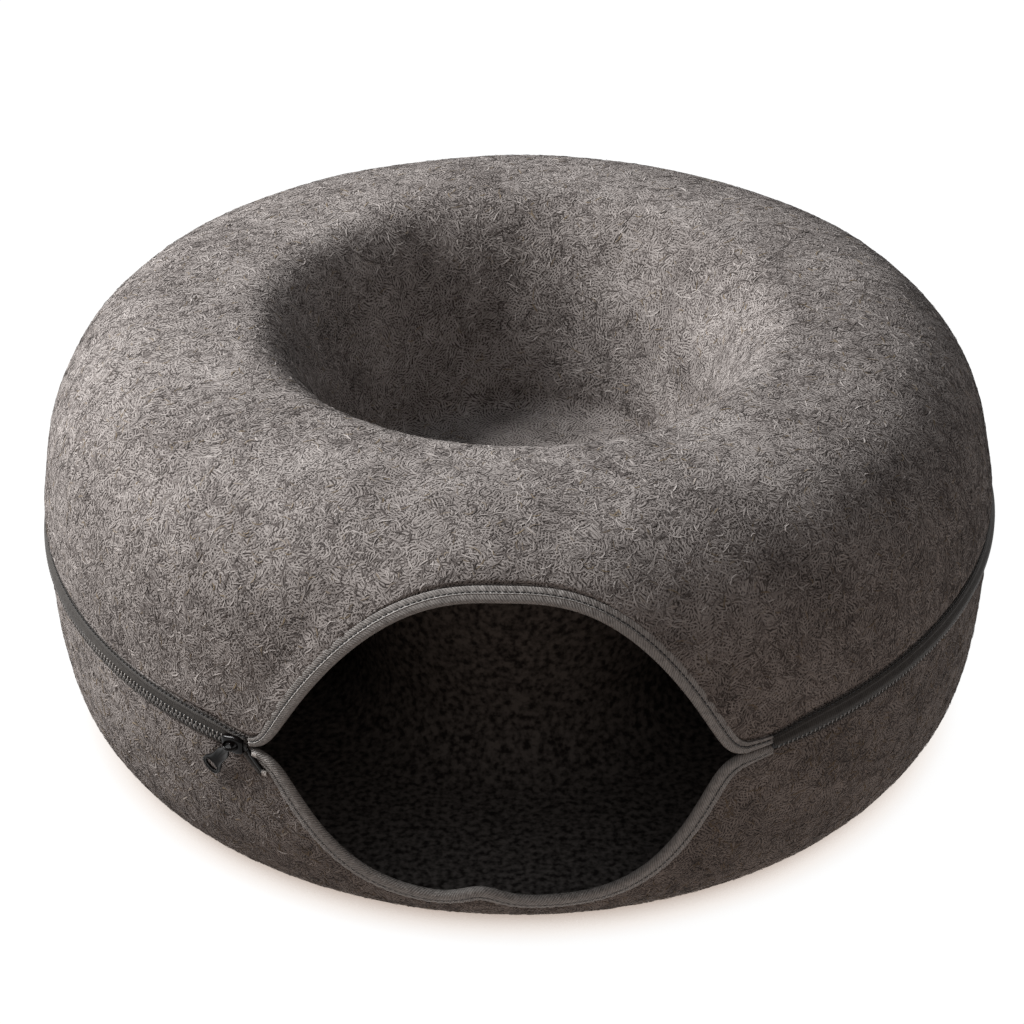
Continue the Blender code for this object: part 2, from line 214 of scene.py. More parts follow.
def addNode(tree, kind, inputs=None, **settings):
    # one node: settings are its properties, inputs are values or the outputs that feed it
    node = tree.nodes.new("ShaderNode" + kind)
    for name, value in settings.items():
        setattr(node, name, value)
    for key, value in (inputs or {}).items():
        if isinstance(value, bpy.types.NodeSocket):
            tree.links.new(value, node.inputs[key])
        else:
            node.inputs[key].default_value = value
    return node


def newMaterial(name, **values):
    # a Principled material with its plain values set on the shader's own sockets
    made = bpy.data.materials.new(name)
    made.use_nodes = True
    shader = made.node_tree.nodes["Principled BSDF"]
    for key, value in values.items():
        shader.inputs[key.replace("_", " ")].default_value = value
    return made, made.node_tree, shader


def colourRamp(tree, factor, stops):
    # a ColorRamp with its stops as {place: hex colour}
    node = addNode(tree, "ValToRGB", {0: factor})
    ramp = node.color_ramp
    while len(ramp.elements) < len(stops):
        ramp.elements.new(0.5)
    for element, (place, colour) in zip(ramp.elements, sorted(stops.items())):
        element.position = place
        element.color = linear(colour)
    return node.outputs["Color"]


felt = {
    "patches": ((0.0080, 0.0021), (0.0062, 0.0017)),  # size of a patch of fibres, and their pitch in it
    "bend": 0.0030,  # how far the fibres of a patch wander from straight
    "clouds": (0.060, 0.020),  # sizes of the lighter and darker clouds of the mix
    "cloudShare": 0.40,
    "level": 0.44,  # where the mat's mean lies between the dark and the light wool
    "matWeight": 0.38,  # how much of the tone the mat's own fibres make
    "dark": "#2e2a28",
    "middle": "#6c6562",
    "light": "#b0a9a5",
    "brown": "#7d6e58",
    "insideDark": "#3a3634",
    "insideLight": "#8a8480",
}


def woolColour(tree, place, streaks, weight):
    # clouds of lighter and darker wool, with the fibres' own light and dark on top of them
    broad, small = (addNode(tree, "TexNoise", {"Vector": place, "Scale": 1 / size, "Detail": 2.0})
                    for size in felt["clouds"])
    share = felt["cloudShare"]
    tone = addNode(tree, "Math", {0: streaks, 1: weight, 2: felt["level"] - share},
                   operation="MULTIPLY_ADD")
    for cloud in (broad, small):
        tone = addNode(tree, "Math", {0: cloud.outputs["Fac"], 1: share, 2: tone.outputs[0]},
                       operation="MULTIPLY_ADD")
    return colourRamp(tree, tone.outputs[0], {0.05: felt["dark"], 0.50: felt["middle"], 0.95: felt["light"]})


def feltMaterial():
    # needle-punched wool felt: carded wool tangled by barbed needles, so the face is a mat of short curved
    # fibres that lie side by side in small patches, light ones over dark gaps, matt and fuzzy
    made, tree, shader = newMaterial("needle_punched_wool_felt", Roughness=0.95, Specular_IOR_Level=0.12)
    coordinates = addNode(tree, "TexCoord")
    place, facing = coordinates.outputs["Object"], coordinates.outputs["Normal"]
    wander = addNode(tree, "TexNoise", {"Vector": place, "Scale": 1 / 0.0045, "Detail": 1.0})
    moved = addNode(tree, "VectorMath",
                    {0: wander.outputs["Color"], 1: (felt["bend"],) * 3, 2: place}, operation="MULTIPLY_ADD")

    def patchOfFibres(size, pitch):
        # each Voronoi cell turns its own way in the felt's face; fibres are a sine of the way across it
        cell = addNode(tree, "TexVoronoi", {"Vector": moved.outputs[0], "Scale": 1 / size})
        spin = addNode(tree, "VectorMath", {0: cell.outputs["Color"], 1: (0.5, 0.5, 0.5)},
                       operation="SUBTRACT")
        across = addNode(tree, "VectorMath", {0: facing, 1: spin.outputs[0]}, operation="CROSS_PRODUCT")
        across = addNode(tree, "VectorMath", {0: across.outputs[0]}, operation="NORMALIZE")
        away = addNode(tree, "VectorMath", {0: moved.outputs[0], 1: cell.outputs["Position"]},
                       operation="SUBTRACT")
        far = addNode(tree, "VectorMath", {0: away.outputs[0], 1: across.outputs[0]},
                      operation="DOT_PRODUCT")
        phase = addNode(tree, "Math", {0: far.outputs["Value"], 1: 2 * np.pi / pitch}, operation="MULTIPLY")
        return addNode(tree, "Math", {0: phase.outputs[0]}, operation="SINE").outputs[0]

    first, second = (patchOfFibres(size, pitch) for size, pitch in felt["patches"])
    mat = addNode(tree, "Math", {0: first, 1: second}, operation="MAXIMUM").outputs[0]
    tree.links.new(woolColour(tree, place, mat, felt["matWeight"]), shader.inputs["Base Color"])
    bump = addNode(tree, "Bump", {"Height": mat, "Strength": 0.5, "Distance": 0.0003})
    tree.links.new(bump.outputs["Normal"], shader.inputs["Normal"])
    return made


def mottledMaterial(name, size, detail, stops, **values):
    # darker and lighter patches of one size, in metres, on a material with plain values
    made, tree, shader = newMaterial(name, **values)
    place = addNode(tree, "TexCoord").outputs["Object"]
    patches = addNode(tree, "TexNoise", {"Vector": place, "Scale": 1 / size, "Detail": detail})
    tree.links.new(colourRamp(tree, patches.outputs["Fac"], stops), shader.inputs["Base Color"])
    return made


def innerFeltMaterial():
    # the same felt's other face, pressed against the mould: smoother, and dark where no light reaches
    stops = {0.35: felt["insideDark"], 0.65: felt["insideLight"]}
    return mottledMaterial("felt_inner_face", 0.004, 3.0, stops, Roughness=0.95, Specular_IOR_Level=0.1)


def fibreMaterial():
    # single wool fibres lying on the mat: lighter or darker than the mat below, and some brown ones; the tone
    # attribute holds the lightness first and then the share of brown
    made, tree, shader = newMaterial("loose_wool_fibre", Roughness=0.95, Specular_IOR_Level=0.1)
    place = addNode(tree, "TexCoord").outputs["Object"]
    tone = addNode(tree, "Attribute", attribute_name="tone").outputs["Color"]
    parts = addNode(tree, "SeparateXYZ", {0: tone})
    grey = woolColour(tree, place, parts.outputs["X"], 1.0)
    brown = addNode(tree, "Mix", {"Factor": parts.outputs["Y"], 6: grey, 7: linear(felt["brown"])},
                    data_type="RGBA")
    tree.links.new(brown.outputs[2], shader.inputs["Base Color"])
    return made


tapeCloth = {
    "rib": 0.0014,  # two or three real threads, so that the ribs show
    "bindingDark": "#66625f",
    "bindingLight": "#aca7a3",
    "zipDark": "#363331",
    "zipLight": "#504d4a",
}


def tapeMaterial(name, dark, light, slant, shine, relief):
    # woven polyester tape: weft ribs run across it, beaten close, with a dull filament sheen. Its map is in
    # metres, U along the tape and V across it. A band pattern repeats every 0.314 / scale.
    made, tree, shader = newMaterial(name, Roughness=0.55, Specular_IOR_Level=shine)
    flat = addNode(tree, "UVMap", uv_map="weave").outputs["UV"]
    leaning = addNode(tree, "Mapping", {"Vector": flat, "Rotation": (0, 0, np.radians(slant))})
    ribs = addNode(tree, "TexWave",
                   {"Vector": leaning.outputs[0], "Scale": 0.314 / tapeCloth["rib"], "Distortion": 1.5,
                    "Detail": 1.0}, wave_type="BANDS", bands_direction="X")
    wear = addNode(tree, "TexNoise", {"Vector": flat, "Scale": 1 / 0.003, "Detail": 3.0})
    tone = addNode(tree, "Math", {0: ribs.outputs["Fac"], 1: 0.4, 2: wear.outputs["Fac"]},
                   operation="MULTIPLY_ADD")
    tree.links.new(colourRamp(tree, tone.outputs[0], {0.35: dark, 1.0: light}), shader.inputs["Base Color"])
    bump = addNode(tree, "Bump", {"Height": ribs.outputs["Fac"], "Strength": relief, "Distance": 0.0003})
    tree.links.new(bump.outputs["Normal"], shader.inputs["Normal"])
    return made


def threadMaterial(name, dark, light):
    # twisted polyester sewing thread: two plies, so fine dark and light bands run across each stitch
    return mottledMaterial(name, 0.0009, 2.0, {0.3: dark, 0.7: light}, Roughness=0.55, Specular_IOR_Level=0.4)


def nylonMaterial(name, dark, light):
    # nylon monofilament, drawn and coiled hot: smooth, with a soft shine on every bend
    return mottledMaterial(name, 0.004, 2.0, {0.3: dark, 0.7: light}, Roughness=0.3, Specular_IOR_Level=0.5)


def enamelMaterial():
    # zinc die casting under black stoved enamel: a film with a slight orange peel, worn brown in places
    made, tree, shader = newMaterial("painted_zip_slider", Specular_IOR_Level=0.15)
    place = addNode(tree, "TexCoord").outputs["Object"]
    peel = addNode(tree, "TexNoise", {"Vector": place, "Scale": 1 / 0.0012, "Detail": 2.0})
    wear = addNode(tree, "TexNoise", {"Vector": place, "Scale": 1 / 0.003, "Detail": 4.0})
    tree.links.new(colourRamp(tree, wear.outputs["Fac"], {0.35: "#050404", 0.75: "#140f0e"}),
                   shader.inputs["Base Color"])
    rough = addNode(tree, "MapRange", {"Value": wear.outputs["Fac"], "To Min": 0.14, "To Max": 0.28})
    tree.links.new(rough.outputs[0], shader.inputs["Roughness"])
    bump = addNode(tree, "Bump", {"Height": peel.outputs["Fac"], "Strength": 0.2, "Distance": 0.0001})
    tree.links.new(bump.outputs["Normal"], shader.inputs["Normal"])
    return made


feltOutside = feltMaterial()
feltInside = innerFeltMaterial()
woolFibre = fibreMaterial()
bindingTape = tapeMaterial("woven_binding_tape", tapeCloth["bindingDark"], tapeCloth["bindingLight"],
                           35, 0.3, 0.7)
zipTape = tapeMaterial("woven_zip_tape", tapeCloth["zipDark"], tapeCloth["zipLight"], 0, 0.12, 0.25)
darkThread = threadMaterial("dark_sewing_thread", "#0f0d0d", "#262322")
paleThread = threadMaterial("pale_sewing_thread", "#a8a29d", "#e2ddd8")
coilNylon = nylonMaterial("nylon_zip_coil", "#6e6a67", "#8b8783")
# a paler copy of the coil's nylon for the beads on the upper teeth's tips: a painted highlight
paintedHighlightNylon = nylonMaterial("coil_bend_painted_highlight", "#96928e", "#bdb9b4")
# near-black cord for the strip under the coil: where the coil's core lies, its darkness is painted shade
# between the turns
coreCordPaintedShade = threadMaterial("coil_core_painted_shade", "#141312", "#24211f")
enamel = enamelMaterial()
print("materials made:", len(bpy.data.materials))


# mesh making
def newObject(name, data):
    obj = bpy.data.objects.new(name, data)
    bpy.context.collection.objects.link(obj)
    return obj


def newPiece(name, points, faceGroups, materials, slots=None, maps=None, tones=None):
    # one mesh from points and groups of faces; each group has faces of one number of corners
    mesh = bpy.data.meshes.new(name)
    corners = np.concatenate([group.ravel() for group in faceGroups]).astype(np.int32)
    counts = np.concatenate([np.full(len(group), group.shape[1]) for group in faceGroups])
    mesh.vertices.add(len(points))
    mesh.vertices.foreach_set("co", np.asarray(points, np.float32).ravel())
    mesh.loops.add(len(corners))
    mesh.loops.foreach_set("vertex_index", corners)
    mesh.polygons.add(len(counts))
    mesh.polygons.foreach_set("loop_start", np.append(0, np.cumsum(counts)[:-1]).astype(np.int32))
    mesh.update(calc_edges=True)
    for material in materials:
        mesh.materials.append(material)
    if slots is not None:
        mesh.polygons.foreach_set("material_index", np.asarray(slots, np.int32))
    if maps is not None:
        layer = mesh.uv_layers.new(name="weave")
        layer.uv.foreach_set("vector", np.asarray(maps, np.float32)[corners].ravel())
    if tones is not None:
        layer = mesh.color_attributes.new("tone", "FLOAT_COLOR", "POINT")
        layer.data.foreach_set("color", np.asarray(tones, np.float32).ravel())
    mesh.shade_smooth()
    return newObject(name, mesh)


def gridQuads(rows, columns, closedRows=False, closedColumns=False):
    # quads between the points of a rows x columns grid, stored row by row
    index = np.arange(rows * columns).reshape(rows, columns)
    if closedRows:
        index = np.concatenate([index, index[:1]])
    if closedColumns:
        index = np.concatenate([index, index[:, :1]], 1)
    return np.stack([index[:-1, :-1], index[:-1, 1:], index[1:, 1:], index[1:, :-1]], -1).reshape(-1, 4)


def rampUp(value, start, end):
    # 0 below start, 1 above end, with a smooth step between
    share = np.clip((value - start) / (end - start), 0, 1)
    return share * share * (3 - 2 * share)


# felt sheets, the tapes' reach on them and the swell beside each seam
shape = {
    "lump": 0.0004,  # unevenness of the felt, from hand steaming over the mould
    "puff": 0.0013,  # how far felt swells beside a tape that is sewn down on it
    "groove": 0.0015,  # how deep the seam pulls the felt in, right beside the tape
    "pressed": 0.0015,  # how much thinner the felt is inside its binding
    "tapeAbove": 0.0104,
    "tapeBelow": 0.0046,
    "tapeLeft": -29.35,
    "tapeRight": 30.9,
    "tapeNarrow": 0.34,  # share of its reach that the tape loses at its ends, tucked under the bindings
    "bindingReach": 0.0080,
    "bindingLeft": -29.0,
    "bindingRight": 31.0,
    "bindingNarrow": 0.42,  # share of its leg that the binding loses at its ends, tucked under the felt
    "frontStep": 0.5,
    "roundStep": 1.6,
}


def lumps(azimuth, s):
    # a few long waves round the ring and along the profile, no two alike
    a = np.radians(azimuth)
    wave = np.sin(3 * a + 9 * s + 0.4) + 0.8 * np.sin(5 * a - 23 * s + 1.7)
    wave = wave + 0.7 * np.sin(8 * a + 41 * s + 2.9)
    return shape["lump"] * (wave + 0.5 * np.sin(13 * a - 67 * s + 0.8))


def bindingReach(azimuth):
    # how far the binding's leg reaches on to the felt: full, but narrower towards both ends
    angle = turned(azimuth)
    inside = np.minimum(angle - shape["bindingLeft"], shape["bindingRight"] - angle)
    return shape["bindingReach"] * (1 - shape["bindingNarrow"] * (1 - rampUp(inside, 0, 6)))


def tapeShare(azimuth):
    # how much of its reach the zip tape has: all of it, but less towards both ends
    angle = turned(azimuth)
    beside = np.where(angle > 0, angle - shape["tapeRight"], shape["tapeLeft"] - angle)
    return 1 - shape["tapeNarrow"] * (1 - rampUp(beside, 0, 6))


def beyondTape(azimuth, s, edge, tapeReach, way):
    # distance on to the open felt from the edge of the tape or binding that is sewn on there
    angle = turned(azimuth)
    bound = (angle > shape["bindingLeft"]) & (angle < shape["bindingRight"])
    tapeSide = zipLine(angle) + way * tapeReach * tapeShare(angle)
    start = np.where(bound, edge(angle) + way * bindingReach(angle), tapeSide)
    return way * (s - start)


def seamSwell(off, puff):
    # the felt's height beside a seam: a groove, then a soft roll that dies away
    groove = shape["groove"] * np.exp(-(((off - 0.0009) / 0.0009) ** 2))
    return puff * rampUp(off, 0.0010, 0.0036) * (1 - rampUp(off, 0.010, 0.035)) - groove


def upperSwell(azimuth, s):
    off = beyondTape(azimuth, s, upperEdge, shape["tapeAbove"], 1)
    calm = rampUp(off, 0.004, 0.03) * rampUp(radiusAt(s), 0.03, 0.08)
    return seamSwell(off, shape["puff"]) + lumps(azimuth, s) * calm


def lowerSwell(azimuth, s):
    off = beyondTape(azimuth, s, lowerEdge, shape["tapeBelow"], -1)
    height = np.interp(s, profileS, profileZ)
    calm = rampUp(off, 0.004, 0.03) * rampUp(height, 0.004, 0.03) * (s > -0.16)
    return seamSwell(off, 0.4 * shape["puff"]) + lumps(azimuth + 40, s) * calm


def feltThickness(azimuth, off):
    # the felt's own thickness, less what the binding presses out of it round the entrance
    front = 1 - rampUp(np.abs(turned(azimuth)), 28, 34)
    return bed["felt"] - shape["pressed"] * front * np.exp(-((off / 0.009) ** 2))


def feltSheet(name, edge, middleS, swell, outerRows, innerRows):
    # rows run from the middle of the outside face to the edge, round it, and back to the middle of the inside
    # face, closer beside the seam; columns run round the ring, closer at the entrance
    front = np.arange(-32, 32, shape["frontStep"])
    azimuth = np.concatenate([front, np.linspace(32, 328, int(296 / shape["roundStep"]), endpoint=False)])
    edgeS = edge(azimuth)
    way = np.sign(middleS)
    seamRows = np.concatenate([np.linspace(0, 0.005, 4)[:-1], np.arange(0.005, 0.0155, 0.00075)])
    backRows = np.arange(0.0, 0.016, 0.003)

    def away(nearRows, count):
        # distances from the edge: the near rows, then equal shares of what is left up to the middle
        whole = np.abs(middleS - edgeS)[None, :]
        share = np.linspace(0, 1, count + 1)[1:-1, None]
        near = np.broadcast_to(nearRows[:, None], (len(nearRows), len(azimuth)))
        return np.concatenate([near, nearRows[-1] + share * (whole - nearRows[-1])])

    outer, inner = away(seamRows, outerRows), away(backRows, innerRows)
    lip = np.radians([70, 35, 0, -35, -70])[:, None]
    lipThick = feltThickness(azimuth, 0.0)[None, :]
    distance = np.concatenate([outer[::-1], -0.0012 * np.cos(lip) + 0 * lipThick, inner])
    depth = np.concatenate([
        0 * outer,
        lipThick * (np.sin(lip) - 1) / 2,
        -feltThickness(azimuth[None, :], inner),
    ])
    s = edgeS[None, :] + way * distance
    points = surface(azimuth[None, :], s, depth + swell(azimuth[None, :], s))
    rows, columns = s.shape
    middle = surface(0.0, middleS, np.array([0.0, -bed["felt"]]))
    middle[:, :2] = (0, bed["centreY"])
    points = np.concatenate([points.reshape(-1, 3), middle])
    ring = np.arange(columns)
    after = np.roll(ring, -1)
    last = (rows - 1) * columns
    top = np.stack([after, ring, np.full(columns, rows * columns)], 1)
    bottom = np.stack([last + ring, last + after, np.full(columns, rows * columns + 1)], 1)
    groups = [gridQuads(rows, columns, closedColumns=True), top, bottom]
    if way < 0:
        groups = [group[:, ::-1] for group in groups]
    insideQuad = np.repeat(np.arange(rows - 1), columns) > len(outer) + 1
    slots = np.concatenate([insideQuad, np.zeros(columns), np.ones(columns)])
    return newPiece(name, points, groups, [feltOutside, feltInside], slots)


upperFelt = feltSheet("upper_felt", upperEdge, wellMiddleS, upperSwell, 98, 40)
lowerFelt = feltSheet("lower_felt", lowerEdge, hubMiddleS, lowerSwell, 92, 36)
print("felt sheets:", len(upperFelt.data.polygons), "and", len(lowerFelt.data.polygons), "faces")

# loose fibres on the felt
fibre = {
    "length": (0.0040, 0.0090),
    "halfWidth": (0.00027, 0.00048),
    "lift": 0.00012,  # mean height of a fibre's middle above its ends
    "liftLimit": 0.0004,
    "tilt": 0.18,  # spread of the slope across a fibre
    "steps": 3,
    "curl": 1.5,  # radians that a fibre turns over its length, on the whole
    "tone": (0.17, 0.20),  # mean and spread of the fibres' lightness above that of the mat
    "toneLimit": (-0.20, 0.75),
    "brown": 0.04,
    "lowBrown": 0.22,
}


def fibreMat(name, count, low, high, edge, tapeReach, swell, brown, planar=False):
    # ribbons on the felt's face: the heading along each is a start + turn * t, and its points are the running
    # sum of the heading's cosine and sine
    way = 1 if high > 0 else -1
    s = random.uniform(low, high, int(count * 1.6))
    azimuth = random.uniform(-180, 180, len(s))
    keep = random.uniform(0, bed["feltRadius"], len(s)) < radiusAt(s)
    keep &= beyondTape(azimuth, s, edge, tapeReach, way) > 0.0025
    s, azimuth = s[keep][:count], azimuth[keep][:count]
    count = len(s)
    steps = fibre["steps"]
    t = np.linspace(0, 1, steps + 1)
    length = random.uniform(*fibre["length"], count)[:, None]
    heading = random.uniform(0, 2 * np.pi, count)[:, None]
    heading = heading + random.normal(0, fibre["curl"], count)[:, None] * t
    step = length / steps
    along = np.concatenate([0 * step, np.cumsum(np.cos(heading[:, :-1]) * step, 1)], 1)
    up = np.concatenate([0 * step, np.cumsum(np.sin(heading[:, :-1]) * step, 1)], 1)
    half = random.uniform(*fibre["halfWidth"], count)[:, None] * np.array([0.4, 1, 0.9, 0.3])
    lift = random.exponential(fibre["lift"], count)[:, None].clip(0, fibre["liftLimit"])
    lift = lift * np.sin(np.pi * (0.1 + 0.8 * t)) + 0.00010
    tilt = random.normal(0, fibre["tilt"], count)[:, None] * half
    side = np.array([-1.0, 1.0])
    along = along[..., None] - (np.sin(heading) * half)[..., None] * side
    up = up[..., None] + (np.cos(heading) * half)[..., None] * side
    out = lift[..., None] + tilt[..., None] * side
    if planar:
        points = surface(azimuth, s)[:, None, None, :] + np.stack([along, up, out], -1)
    else:
        sHere = s[:, None, None] + up
        azimuthHere = azimuth[:, None, None] + np.degrees(along / np.maximum(radiusAt(sHere), 0.02))
        points = surface(azimuthHere, sHere, out + swell(azimuthHere, sHere))
    faces = gridQuads(steps + 1, 2)[None] + (np.arange(count) * 2 * (steps + 1))[:, None, None]
    faces = faces.reshape(-1, 4)
    if not planar:
        faces = faces[:, ::-1]
    tones = np.ones((count, 4))
    tones[:, 0] = random.normal(*fibre["tone"], count).clip(*fibre["toneLimit"])
    tones[:, 1] = random.uniform(0.3, 0.9, count) * (random.uniform(0, 1, count) < brown)
    tones = np.repeat(tones, 2 * (steps + 1), 0)
    return newPiece(name, points.reshape(-1, 3), [faces], [woolFibre], tones=tones)


aboveZip = (upperEdge, shape["tapeAbove"], upperSwell, fibre["brown"])
belowZip = (lowerEdge, shape["tapeBelow"], lowerSwell, fibre["lowBrown"])
fibreMats = [
    fibreMat("wall_fibres", 27000, 0.0, 0.135, *aboveZip),
    fibreMat("crown_fibres", 20000, 0.135, 0.27, *aboveZip),
    fibreMat("well_fibres", 12000, 0.27, wellFloorS - 0.004, *aboveZip),
    fibreMat("well_floor_fibres", 4000, wellFloorS, wellMiddleS - 0.006, *aboveZip, planar=True),
    fibreMat("base_wall_fibres", 22000, -0.148, 0.0, *belowZip),
]
print("fibres laid:", sum(len(mat.data.polygons) for mat in fibreMats) // fibre["steps"])


# tapes, stitches and the coil
def facingOut(points, quads, *others):
    # the groups of faces, all turned over where the quads' volume shows that they face inwards
    a, b, c, d = (points[quads[:, i]] for i in range(4))
    volume = np.einsum("ij,ij->", a, np.cross(b, c) + np.cross(c, d))
    return [group if volume > 0 else group[:, ::-1] for group in (quads, *others)]


def endCaps(steps, corners):
    # the first and the last section of a swept skin, as faces
    ring = np.arange(corners)
    return np.stack([ring[::-1], (steps - 1) * corners + ring])


def sweep(name, points, material, maps=None):
    # a closed skin round a section carried along a path: points are path steps x section corners, capped
    steps, corners = points.shape[:2]
    flat = points.reshape(-1, 3)
    groups = facingOut(flat, gridQuads(steps, corners, closedColumns=True), endCaps(steps, corners))
    return newPiece(name, flat, groups, [material], maps=maps)


def weaveMap(along, across):
    # a swept tape's map in metres: how far along it, and how far across
    return np.stack(np.broadcast_arrays(along[:, None], across), -1).reshape(-1, 2)


def tubes(name, azimuth, s, out, radius, sides, material):
    # many short closed tubes at once, each round a line over the felt and tapered to a cap at each end
    centres = surface(azimuth, s, out)
    outward = surface(azimuth, s, out + 0.01) - centres
    count, steps = centres.shape[:2]
    ahead = np.gradient(centres, axis=1)
    ahead /= np.linalg.norm(ahead, axis=-1, keepdims=True)
    across = np.cross(ahead, outward)
    across /= np.linalg.norm(across, axis=-1, keepdims=True)
    upward = np.cross(across, ahead)
    turn = np.linspace(0, 2 * np.pi, sides, endpoint=False)
    taper = np.sqrt(np.maximum(1 - np.abs(np.linspace(-1, 1, steps)) ** 4, 0.12))
    ring = np.cos(turn)[:, None] * across[:, :, None] + np.sin(turn)[:, None] * upward[:, :, None]
    points = centres[:, :, None] + radius * taper[:, None, None] * ring
    one = gridQuads(steps, sides, closedColumns=True)
    shift = (np.arange(count) * steps * sides)[:, None, None]
    groups = [(one + shift).reshape(-1, 4), (endCaps(steps, sides) + shift).reshape(-1, sides)]
    return newPiece(name, points.reshape(-1, 3), [group[:, ::-1] for group in groups], [material])


binding = {
    "gap": 0.0004,
    "thickness": 0.0010,
    "hem": 0.0006,  # the folded-in hem makes the inner strip stand this much higher than the outer one
    "stitchAcross": 0.0043,
    "stitchPitch": 0.0033,
    "stitchLength": 0.0029,
    "stitchRadius": 0.00036,
    "step": 0.2,
}


def edgeFrame(edge, side, azimuth):
    # for points on a felt edge: the profile place, the directions into the felt and the metres in a degree
    fine = np.linspace(azimuth.min() - 1, azimuth.max() + 1, 1600)
    s = edge(azimuth)
    perDegree = perDegreeAt(s)
    slope = np.interp(azimuth, fine, smoothed(np.gradient(edge(fine), fine), 15)) / perDegree
    size = np.hypot(slope, 1)
    return s, -slope / size * side / perDegree, side / size, size * perDegree


def bindingTapePiece(name, edge, side):
    # tape folded over the felt's edge: a U section with a stepped, slightly domed outer leg, carried along
    # the edge. Both legs hug the felt, which is pressed thinner inside the fold.
    azimuth = np.arange(shape["bindingLeft"], shape["bindingRight"] + 0.01, binding["step"])
    s, intoAzimuth, intoS, perDegree = edgeFrame(edge, side, azimuth)
    leg, gap, thick = shape["bindingReach"], binding["gap"], binding["thickness"]
    face = gap + thick
    back = bed["felt"] - shape["pressed"] + gap
    deepBack = feltThickness(0.0, leg) + gap
    seamAt = binding["stitchAcross"]
    across = np.array([leg, leg - 0.0003, leg - 0.0010, seamAt + 0.0014, seamAt + 0.0006, seamAt + 0.0001,
                       seamAt - 0.0003, seamAt - 0.0009, 0.0038, 0.0028, 0.0018, 0.0010])
    step = binding["hem"] * (1 - rampUp(across, seamAt - 0.0005, seamAt + 0.0002))
    dome = 0.00025 * np.sin(np.pi * (across - 0.0010) / (leg - 0.0010))
    groove = 0.00035 * np.exp(-(((across - seamAt - 0.0002) / 0.0005) ** 2))
    outer = face + step + dome - groove
    bend = np.radians(np.linspace(75, -75, 7))
    bendHalf = (outer[-1] + back + thick) / 2
    section = np.concatenate([
        np.stack([across, outer], 1),
        np.stack([0.0006 - 0.0020 * np.cos(bend), outer[-1] - bendHalf + bendHalf * np.sin(bend)], 1),
        [[0.0010, -back - thick], [leg * 0.6, -deepBack + 0.0002 - thick], [leg, -deepBack - thick]],
        [[leg, -deepBack], [leg * 0.6, 0.0002 - deepBack], [-gap, -back], [-gap, gap], [leg, gap]],
    ])
    offset, out = section[:, 0], section[:, 1]
    narrow = (bindingReach(azimuth) / leg)[:, None]
    offset = np.where(offset > 0, offset * narrow, offset)
    pucker = 0.00016 * np.sin(np.radians(azimuth) * 330) * (1 + 0.5 * np.sin(np.radians(azimuth) * 71))
    height = out + np.where(out > 0.001, pucker[:, None] * np.clip(offset / leg, 0, 1), 0)
    angle = azimuth[:, None] + offset * intoAzimuth[:, None]
    points = surface(angle, s[:, None] + offset * intoS[:, None], height)
    length = np.append(0, np.cumsum(perDegree[:-1] * binding["step"]))
    return sweep(name, points, bindingTape, weaveMap(length, runLength(section)))


def stitchesAlong(name, azimuth, s, headAzimuth, headS, out, length, radius, thread):
    # one stitch at each place: it dips at both ends, where the needle takes the thread through the cloth
    t = np.linspace(-0.5, 0.5, 6)
    dip = 0.00055 * (2 * np.abs(t)) ** 4
    run = t * length
    angle = azimuth[:, None] + run * headAzimuth[:, None]
    return tubes(name, angle, s[:, None] + run * headS[:, None], out - dip, radius, 6, thread)


def bindingStitches(name, edge, side):
    # one row of thread in the step of the hem
    fine = np.linspace(shape["bindingLeft"] + 0.2, shape["bindingRight"] - 0.2, 1500)
    perDegree = edgeFrame(edge, side, fine)[3]
    length = np.append(0, np.cumsum(0.5 * (perDegree[1:] + perDegree[:-1]) * np.diff(fine)))
    azimuth = np.interp(np.arange(0.002, length[-1] - 0.002, binding["stitchPitch"]), length, fine)
    s, intoAzimuth, intoS, _ = edgeFrame(edge, side, azimuth)
    across = (binding["stitchAcross"] + 0.0003) * bindingReach(azimuth) / shape["bindingReach"]
    turnLength = perDegreeAt(s)
    out = binding["gap"] + binding["thickness"] + 0.0003
    length, thick = binding["stitchLength"], binding["stitchRadius"]
    return stitchesAlong(name, azimuth + across * intoAzimuth, s + across * intoS, intoS / turnLength,
                         -intoAzimuth * turnLength, out, length, thick, darkThread)


upperBinding = bindingTapePiece("upper_binding_tape", upperEdge, 1)
lowerBinding = bindingTapePiece("lower_binding_tape", lowerEdge, -1)
upperStitches = bindingStitches("upper_binding_stitches", upperEdge, 1)
lowerStitches = bindingStitches("lower_binding_stitches", lowerEdge, -1)
print("bindings sewn on")

chain = {
    "left": shape["tapeLeft"],
    "right": shape["tapeRight"],
    "teethEnd": -32.3,  # the coil runs on inside the slider, out of sight
    "gap": 0.0003,
    "tape": 0.0012,
    "halfWidth": 0.0027,
    "height": 0.0014,
    "pitch": 0.0032,
    "wire": 0.00050,
    "tip": 0.00062,
    "flap": 0.0036,  # how far the upper tape's loose lower edge stands off, over the coil
    "flapLean": 0.0005,  # how much further it does so on the right than in the middle, and less on the left
    "flapThickness": 0.0008,
    "sewn": 0.0022,  # the tape's sewn edge, which lies this wide in the groove below the felt's roll
    "step": 1.0,
    "stitchPitch": 0.0034,
}


def ringPath(step, end=chain["left"]):
    # azimuths round the back of the bed, from the zip's right end to its left one
    return np.arange(chain["right"], 360 + end + 1e-6, step)


def ringSteps():
    return np.append(ringPath(chain["step"]), 360 + chain["left"])


def flapRise(azimuth):
    # how far the upper tape stands off flat: round the back and both sides, but not near the slider
    angle = turned(azimuth)
    share = np.where(angle < 0, 1 - rampUp(angle, -62, -40), rampUp(angle, chain["right"] - 10, 34))
    far = chain["flap"] + chain["flapLean"] * np.sin(np.radians(angle))
    return share * (far - chain["gap"] - chain["tape"])


